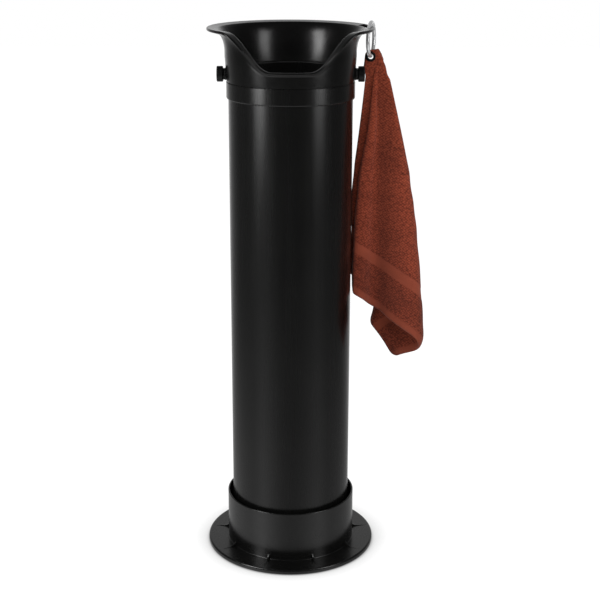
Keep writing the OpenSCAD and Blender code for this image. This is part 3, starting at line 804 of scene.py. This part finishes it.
def cloth_at(turn, fold, reach):
    """Points of the cloth's middle surface, for columns of flat angle and folded direction."""
    column = turn[:, None]
    right, front = fold[:, :1], fold[:, 1:]
    lean = np.radians(np.interp(column + BLUR, *SET_OUT.T).mean(1))[:, None]
    bias = np.interp(column + BLUR, *BIAS.T).mean(1)[:, None]
    gather = fade(reach, GATHER_NEAR, GATHER_FAR - GATHER_NEAR)[..., None]
    curl = CURL * fade(reach + CURL_SOONER * fade(column, *CURL_TURN), *CURL_FROM)
    aim = np.radians(right - curl * fade(right, *CURL_RIGHT))
    tilt = np.radians(front) + 0 * aim
    flat = np.stack([0 * aim, -np.cos(lean) + 0 * aim, np.sin(lean) + 0 * aim], -1)
    hung = unit(np.stack([-np.tan(tilt), -1 + 0 * aim, np.tan(aim)], -1))
    at = (reach * (1 + bias))[..., None] * unit(lerp(flat, hung, gather))
    at[..., 2] += sideways(column, right, front, reach)
    drop = np.clip(-at[..., 1] - EYELET_R, 0, None)
    beside = SIDE_FROM + SIDE_EASE * drop + SIDE_FREE_EASE * np.clip(drop - SIDE_FREE, 0, None)
    at = bent_back(at, radians(PEAK_BEND), PEAK)
    for bend in SIDE_BENDS:
        at = bent_back(at, radians(bend), beside)
    at = EYELET_AT + at[..., :1] * RING_ALONG + at[..., 1:2] * UPWARD + at[..., 2:] * RING_OUT
    return drawn_in(clear_of_tube(at, reach))


def sideways(column, right, front, reach):
    """Shift to the right: the shoulder, the flap on the left and the front panel's left edge."""
    steep = fade(reach, GATHER_NEAR, SHOULDER_STEEP)
    slow = np.clip((reach - GATHER_NEAR) / SHOULDER_SLOW, 0, 1) ** 0.8
    shoulder = SHOULDER * fade(right, *SHOULDER_RIGHT) * fade(front, *SHOULDER_FRONT)
    set_off = fade(reach, GATHER_NEAR, SET_OFF)
    belly = BELLY * np.exp(-(((reach - BELLY_AT) / BELLY_W) ** 2))
    flap = FLAP * set_off * (1 - fade(reach, *FLAP_END)) + belly
    edge = PANEL_EDGE * set_off * (1 - fade(reach, *PANEL_END))
    return (
        shoulder * lerp(slow, steep, SHOULDER_SHARE)
        - flap * fade(-column, *FLAP_TURN)
        + edge * fade(column, *PANEL_TURN) * (1 - fade(column, *PANEL_BACK))
    )


def clear_of_tube(at, reach):
    """Pushes cloth that hangs too close to the tube outwards, softly."""
    from_axis = np.hypot(at[..., 0], at[..., 1])
    lack = TUBE_R + TUBE_ROOM - from_axis
    push = 0.5 * (lack + np.sqrt(lack**2 + TUBE_SOFT**2)) * fade(reach, *TUBE_FROM)
    at[..., :2] *= (1 + push / from_axis)[..., None]
    return at


def drawn_in(at):
    """Draws the widest cloth in, so that it stays near the CAD towel's width."""
    at[..., 0] -= DRAW_IN * np.clip(at[..., 0] - DRAW_FROM, 0, None) ** 2
    return at


def bent_back(at, turn, start):
    """Bends the cloth away from the viewer beyond a start, in a direction turned left from upright."""
    up, side = cos(turn), -sin(turn)
    over = np.clip(up * at[..., 1] + side * at[..., 2] - start, 0, None)
    angle = np.minimum(over / BEND_R, pi / 2)
    back = BEND_R * (1 - np.cos(angle)) + over - angle * BEND_R
    inward = BEND_R * np.sin(angle) - over
    return at + np.stack([back, up * inward, side * inward], -1)


def cloth_columns():
    """Flat angle and folded direction of each column, once round the eyelet."""
    path = fold_path(CLOTH_COLUMNS)
    lower = np.linspace(-CORNER, CORNER, CLOTH_COLUMNS)
    grow = np.linspace(0, 1, CORNER_COLUMNS + 1)[1:] ** CORNER_BUNCH
    corner = CORNER + (180 - CORNER) * grow
    turn = np.concatenate([lower, corner, -corner[-2::-1]])
    past = (EDGE_FAN * (1 - np.exp(-(corner - CORNER) / EDGE_FAN)))[:, None]
    after = path[-1] + past * unit(path[-1] - path[-2])
    before = path[0] + past * unit(path[0] - path[1])
    return turn, np.concatenate([path, after, before[-2::-1]])


def step_in(x, start, end, soft):
    """1 between start and end, with soft edges."""
    return ease((x - start) / soft + 0.5) * ease((end - x) / soft + 0.5)


def weave_marks(to_end):
    """Border, hem and its stitch line, each from 0 to 1, by the distance to the towel's end."""
    border = step_in(to_end, BORDER_AT - BORDER_W / 2, BORDER_AT + BORDER_W / 2, BORDER_SOFT)
    hem = step_in(to_end, -TOWEL_SIDE, HEM_W, HEM_SOFT)
    stitch = step_in(to_end, HEM_W - STITCH_NEAR, HEM_W - STITCH_FAR, STITCH_SOFT)
    return border, hem, stitch


def half_thickness(reach, flat_a, flat_b):
    border, hem, stitch = weave_marks(FAR_EDGE - flat_b)
    relief = fade(reach, *RELIEF_FROM)
    edge = np.minimum(FAR_EDGE - np.maximum(flat_a, flat_b), np.minimum(flat_a, flat_b) + EYELET_INSET)
    pressed = fade(reach, *PRESS_FROM) * (1 - fade(reach, *PRESS_END))
    half = TOWEL_T / 2 * lerp(1, PRESSED, pressed)
    half = half * (1 - BORDER_THIN * border * relief)
    half = half * (1 + (HEM_THICK * hem - STITCH_THIN * stitch) * relief)
    return half * lerp(RIM_THIN, 1, np.sqrt(np.clip(edge / CLOTH_RIM, 0, 1)))


def ripple(reach, flat_a, flat_b):
    """Shallow waves of the hanging cloth."""
    waves = np.sin(flat_a * 95 + 1.3 * np.sin(flat_b * 31)) * np.sin(flat_b * 42 + 0.7)
    return RIPPLE * fade(reach, *RELIEF_FROM) * waves


def both_faces(front, back):
    """Rows down the front face and up the back one, for each column."""
    return np.concatenate([front, back[:, ::-1]], 1)


def make_towel():
    turn, fold = cloth_columns()
    steps = np.linspace(0, 1, CLOTH_ROWS)
    reach = lerp(HOLE_R, edge_at(turn)[:, None], lerp(steps, steps**2, ROW_BUNCH)[None, :])
    angle = np.radians(turn)[:, None]
    flat_a = reach * np.cos(angle - pi / 4)
    flat_b = reach * np.cos(angle + pi / 4)
    middle = cloth_at(turn, fold, reach)
    across = np.roll(middle, -1, 0) - np.roll(middle, 1, 0)
    normal = unit(np.cross(across, np.gradient(middle, axis=1)))
    middle = middle + normal * ripple(reach, flat_a, flat_b)[..., None]
    half = normal * half_thickness(reach, flat_a, flat_b)[..., None]
    ring = both_faces(middle + half, middle - half)
    columns, size = ring.shape[:2]
    towel = make_object("towel_cloth", ring.reshape(-1, 3).tolist(), loops_to_faces(columns, size))
    towel.data.shade_smooth()
    border, hem, _ = weave_marks(FAR_EDGE - flat_b)
    weave = np.maximum(border, hem)
    weave = both_faces(weave, weave).reshape(-1)
    towel.data.attributes.new("weave", "FLOAT", "POINT").data.foreach_set("value", weave.astype(np.float32))
    run = np.cumsum(np.linalg.norm(middle - np.roll(middle, 1, 0), axis=-1), 0)
    add_map(towel, "flat", flat_a, flat_b)
    add_map(towel, "pile", run - run[PANEL_COLUMN], reach)
    finish_piece(towel, TERRY, "towel", "rust_towelling", "towel")
    return towel


def add_map(towel, name, u, v):
    """UV map from a place for each column and row, the same on both faces."""
    places = np.stack([u, v], -1)
    places = both_faces(places, places).reshape(-1, 2)
    corner = np.zeros(len(towel.data.loops), np.int32)
    towel.data.loops.foreach_get("vertex_index", corner)
    layer = towel.data.uv_layers.new(name=name)
    layer.data.foreach_set("uv", places[corner].astype(np.float32).ravel())


def make_eyelet(name, front):
    """Half of the eyelet: a rolled flange, and on the front half the barrel through the cloth."""
    seat = TOWEL_T / 2 + GLUE_GAP
    barrel = EYELET_HOLE + BARREL_T
    if front:
        inside = [
            (EYELET_HOLE, -TOWEL_T / 2, 0.2 * MM),
            (barrel, -TOWEL_T / 2, 0.2 * MM),
            (barrel, seat, 0.1 * MM),
        ]
    else:
        inside = [(EYELET_HOLE, seat, 0.2 * MM)]
    outline = rounded(inside + [
        (EYELET_R, seat, 0.2 * MM),
        (EYELET_R, seat + EYELET_T, 0.9 * MM),
        (EYELET_HOLE, seat + EYELET_T, 0.9 * MM),
    ], 6)
    face = Vector(RING_ALONG) * (-1 if front else 1)
    place = Matrix.Translation(EYELET_AT) @ face.to_track_quat("Z", "Y").to_matrix().to_4x4()
    eyelet = lathe(name, outline, 96, place)
    node = "eyelet_front" if front else "eyelet_back"
    finish_piece(eyelet, BLACK["knob"], "towel", "black_plastic", node)
    return eyelet


towel_cloth = make_towel()
eyelet_pieces = [make_eyelet("eyelet_face", True), make_eyelet("eyelet_rear", False)]

# Nodes whose own shape is kept

KEPT = {
    "ballast_plate": STEEL,
    "ballast_screws": STEEL,
    "rubber_feet": RUBBER,
    "bottom_plug": BLACK["foot"],
    "plug_seal": RUBBER,
    "head_gasket": RUBBER,
    "left_washer": RUBBER,
    "right_washer": RUBBER,
    "left_stud": STEEL,
    "right_stud": STEEL,
    "liner": GREY,
    "bail_wire": STEEL,
    "bail_grip": BLACK["knob"],
    "towel_ring": CHROME,
    "ring_gate": CHROME,
    "gate_pin": STEEL,
}
for kept_name, kept_material in KEPT.items():
    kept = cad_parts[kept_name]
    kept.data.materials.clear()
    kept.data.materials.append(kept_material)

# Stage: pale floor, white surroundings that are darker in front, two soft strip lamps and a fill lamp

FLOOR_HALF = 9
FLOOR_GREY = 0.82
FLOOR_GLOW = 1.18
GLOW_SHARE = 0.8
SHADOW_REACH = 90 * MM
SHADOW_DEPTH = 1.5
ROOM_LIGHT = 0.62
WHITE = (1, 1, 1, 1)
STRIP = {"height": 1.43, "length": 1.75, "width": 0.62, "distance": 1.9, "aim": 1.0}
FILL = {"height": 2.9, "length": 1.2, "width": 1.6, "distance": 2.6, "aim": 0.5, "mirrored": False}


def make_floor():
    bm = bmesh.new()
    bmesh.ops.create_grid(bm, x_segments=8, y_segments=8, size=FLOOR_HALF)
    mesh = bpy.data.meshes.new("floor")
    bm.to_mesh(mesh)
    bm.free()
    floor = bpy.data.objects.new("floor", mesh)
    bpy.context.collection.objects.link(floor)
    material = bpy.data.materials.new("pale_floor")
    material.use_nodes = True
    material.node_tree.nodes.remove(material.node_tree.nodes["Principled BSDF"])
    t = Tree(material.node_tree)
    seen = t.add("LightPath").outputs["Is Camera Ray"]
    open_sky = t.add("AmbientOcclusion", {"Distance": SHADOW_REACH}, samples=16).outputs["AO"]
    shade = t.math("POWER", open_sky, SHADOW_DEPTH)
    diffuse = t.add("BsdfDiffuse", {"Color": (FLOOR_GREY, FLOOR_GREY, FLOOR_GREY, 1)})
    glow = t.add("Emission", {"Strength": t.math("MULTIPLY", shade, FLOOR_GLOW)})
    share = t.math("MULTIPLY", seen, GLOW_SHARE)
    surface = t.add("MixShader", {0: share, 1: diffuse.outputs[0], 2: glow.outputs[0]})
    t.feed(t.tree.nodes["Material Output"].inputs["Surface"], surface.outputs[0])
    mesh.materials.append(material)
    floor.visible_glossy = False


def make_world():
    """White to the camera; in reflections a dim room with a pale wall behind and a lit floor below."""
    world = bpy.data.worlds.new("studio")
    bpy.context.scene.world = world
    world.use_nodes = True
    t = Tree(world.node_tree)
    axes = t.add("SeparateXYZ", {0: t.add("TexCoord").outputs["Generated"]}).outputs
    wall = t.curve(axes["Y"], (-1, 0.03), (0, 0.05), (0.34, 0.09), (0.57, 0.17), (0.81, 0.38), (0.94, 1.0))
    above = t.curve(axes["Z"], (0.0, 1.0), (0.3, 0.62))
    ground = t.curve(axes["Z"], (-0.6, 0.85), (-0.45, 0.72), (-0.40, 0.52), (-0.33, 0.22), (-0.25, 0.0))
    around = t.curve(axes["Y"], (-0.92, 0.42), (-0.73, 0.95), (-0.52, 1.4), (-0.2, 0.74), (0.4, 0.62))
    sides = t.curve(axes["X"], (-0.8, 1.2), (0.0, 0.9), (0.8, 0.82))
    lit = t.math("MULTIPLY", t.math("MULTIPLY", ground, around), sides)
    level = t.math("MAXIMUM", t.math("MULTIPLY", wall, above), lit)
    rays = t.add("LightPath").outputs
    mirrored = t.mix(rays["Is Glossy Ray"], ROOM_LIGHT, level, data_type="FLOAT")
    clear = t.math("MAXIMUM", rays["Is Camera Ray"], rays["Is Transmission Ray"])
    background = t.tree.nodes["Background"].inputs
    t.feed(background["Color"], WHITE)
    t.feed(background["Strength"], t.mix(clear, mirrored, 1.0, data_type="FLOAT"))


def soft_lamp(name, azimuth, watts, height, length, width, distance, aim, mirrored=True):
    """Upright soft lamp at an azimuth from the front, aimed at a height on the bin's axis."""
    data = bpy.data.lights.new(name, "AREA")
    data.shape = "RECTANGLE"
    data.size = width
    data.size_y = length
    data.energy = watts
    lamp = bpy.data.objects.new(name, data)
    bpy.context.collection.objects.link(lamp)
    at = Vector((distance * sin(azimuth), -distance * cos(azimuth), height))
    towards = Vector((0, 0, aim)) - at
    lamp.location = at
    lamp.rotation_euler = towards.to_track_quat("-Z", "Y").to_euler()
    lamp.visible_glossy = mirrored


make_floor()
make_world()
soft_lamp("left_strip", radians(-56), 30, **STRIP)
soft_lamp("right_strip", radians(52), 14.5, **STRIP)
soft_lamp("front_fill", radians(12), 26, **FILL)

bpy.context.scene.view_settings.view_transform = "Standard"
